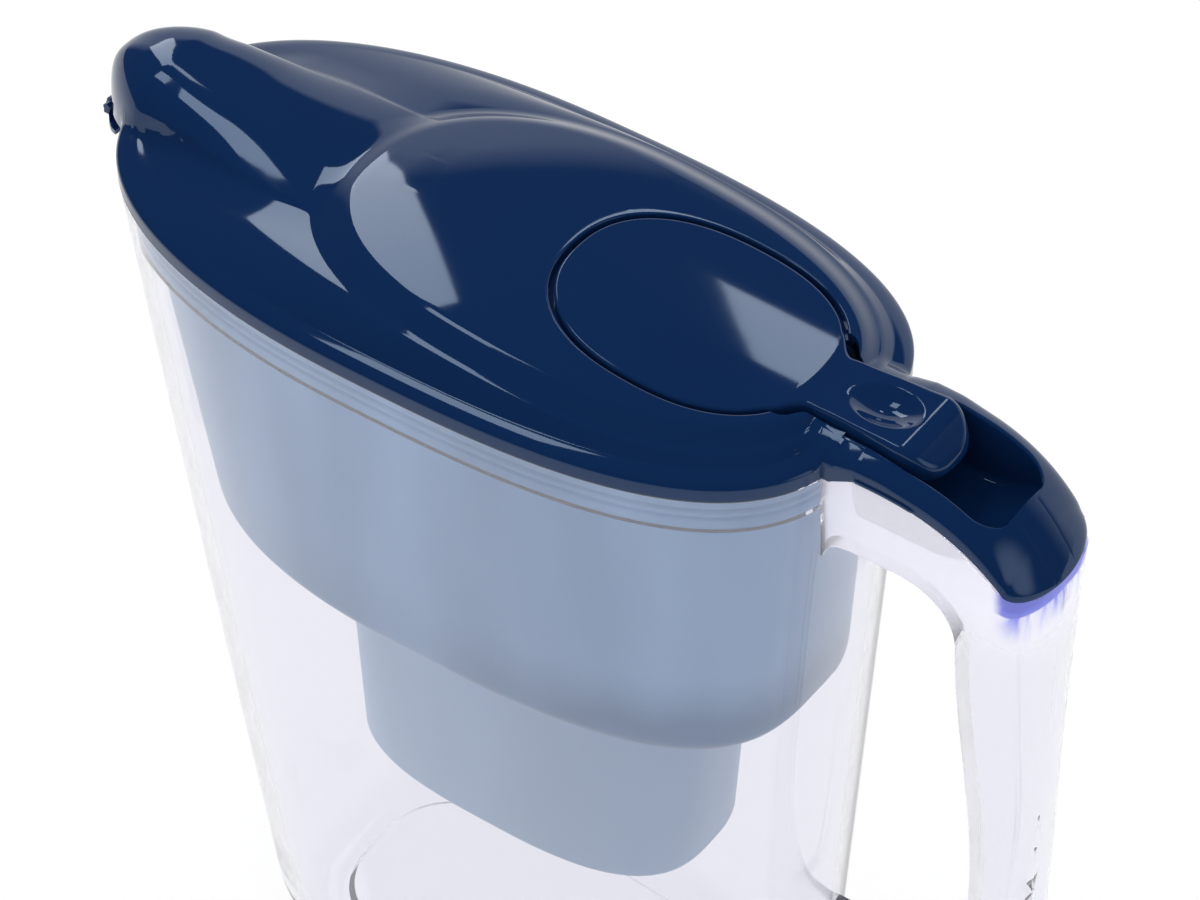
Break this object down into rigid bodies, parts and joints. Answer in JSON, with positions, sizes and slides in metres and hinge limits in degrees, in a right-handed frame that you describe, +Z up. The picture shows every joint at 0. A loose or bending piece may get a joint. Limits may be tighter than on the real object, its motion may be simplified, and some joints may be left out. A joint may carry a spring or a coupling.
{
  "type": "water filter pitcher",
  "caption": "Clear water filter pitcher with a hanging hopper and cartridge, a glossy navy lid with a rocking fill flap and a spout flap, and a channel handle",
  "frame": {"origin": "centre of the bounding box at the table, with every lid and flap closed", "axes": "+X towards the handle, spout at -X; +Y to the pourer's left; +Z up"},
  "size_m": [0.2774, 0.1076, 0.2548],
  "materials": {
    "clear_plastic": "clear gloss",
    "hopper_plastic": "translucent milky blue",
    "lid_plastic": "high gloss",
    "flap_plastic": "high gloss",
    "cartridge_plastic": "satin",
    "seal_rubber": "matt",
    "screen_felt": "fine felt",
    "granules": "granular"
  },
  "bodies": {
    "jug": {"jug_body": "clear_plastic", "jug_handle": "clear_plastic"},
    "hopper": {"hopper": "hopper_plastic", "filter_cup": "hopper_plastic"},
    "lid": {"lid_shell": "lid_plastic", "lid_skirt": "lid_plastic", "lid_tail": "lid_plastic"},
    "fill_flap": {"fill_flap": "flap_plastic"},
    "spout_flap": {"spout_flap": "flap_plastic"},
    "cartridge": {"cartridge_shell": "cartridge_plastic", "cartridge_cap": "cartridge_plastic", "cartridge_seal": "seal_rubber", "cartridge_grid": "cartridge_plastic", "upper_screen": "screen_felt", "lower_screen": "screen_felt", "filter_media": "granules"}
  },
  "joints": [
    {"name": "hopper_lift", "type": "slide", "parent": "jug", "child": "hopper", "axis": [0, 0, 1], "range_m": [0, 0.17]},
    {"name": "lid_lift", "type": "slide", "parent": "hopper", "child": "lid", "axis": [0, 0, 1], "range_m": [0, 0.06]},
    {"name": "cartridge_lift", "type": "slide", "parent": "hopper", "child": "cartridge", "axis": [0, 0, 1], "range_m": [0, 0.072]},
    {"name": "fill_flap_hinge", "type": "hinge", "parent": "lid", "child": "fill_flap", "pos_m": [0.0759, 0, 0.2426], "axis": [0, 1, 0], "range_deg": [0, 18]},
    {"name": "spout_flap_hinge", "type": "hinge", "parent": "lid", "child": "spout_flap", "pos_m": [-0.1357, 0, 0.2318], "axis": [0, 1, 0], "range_deg": [0, 50]}
  ]
}
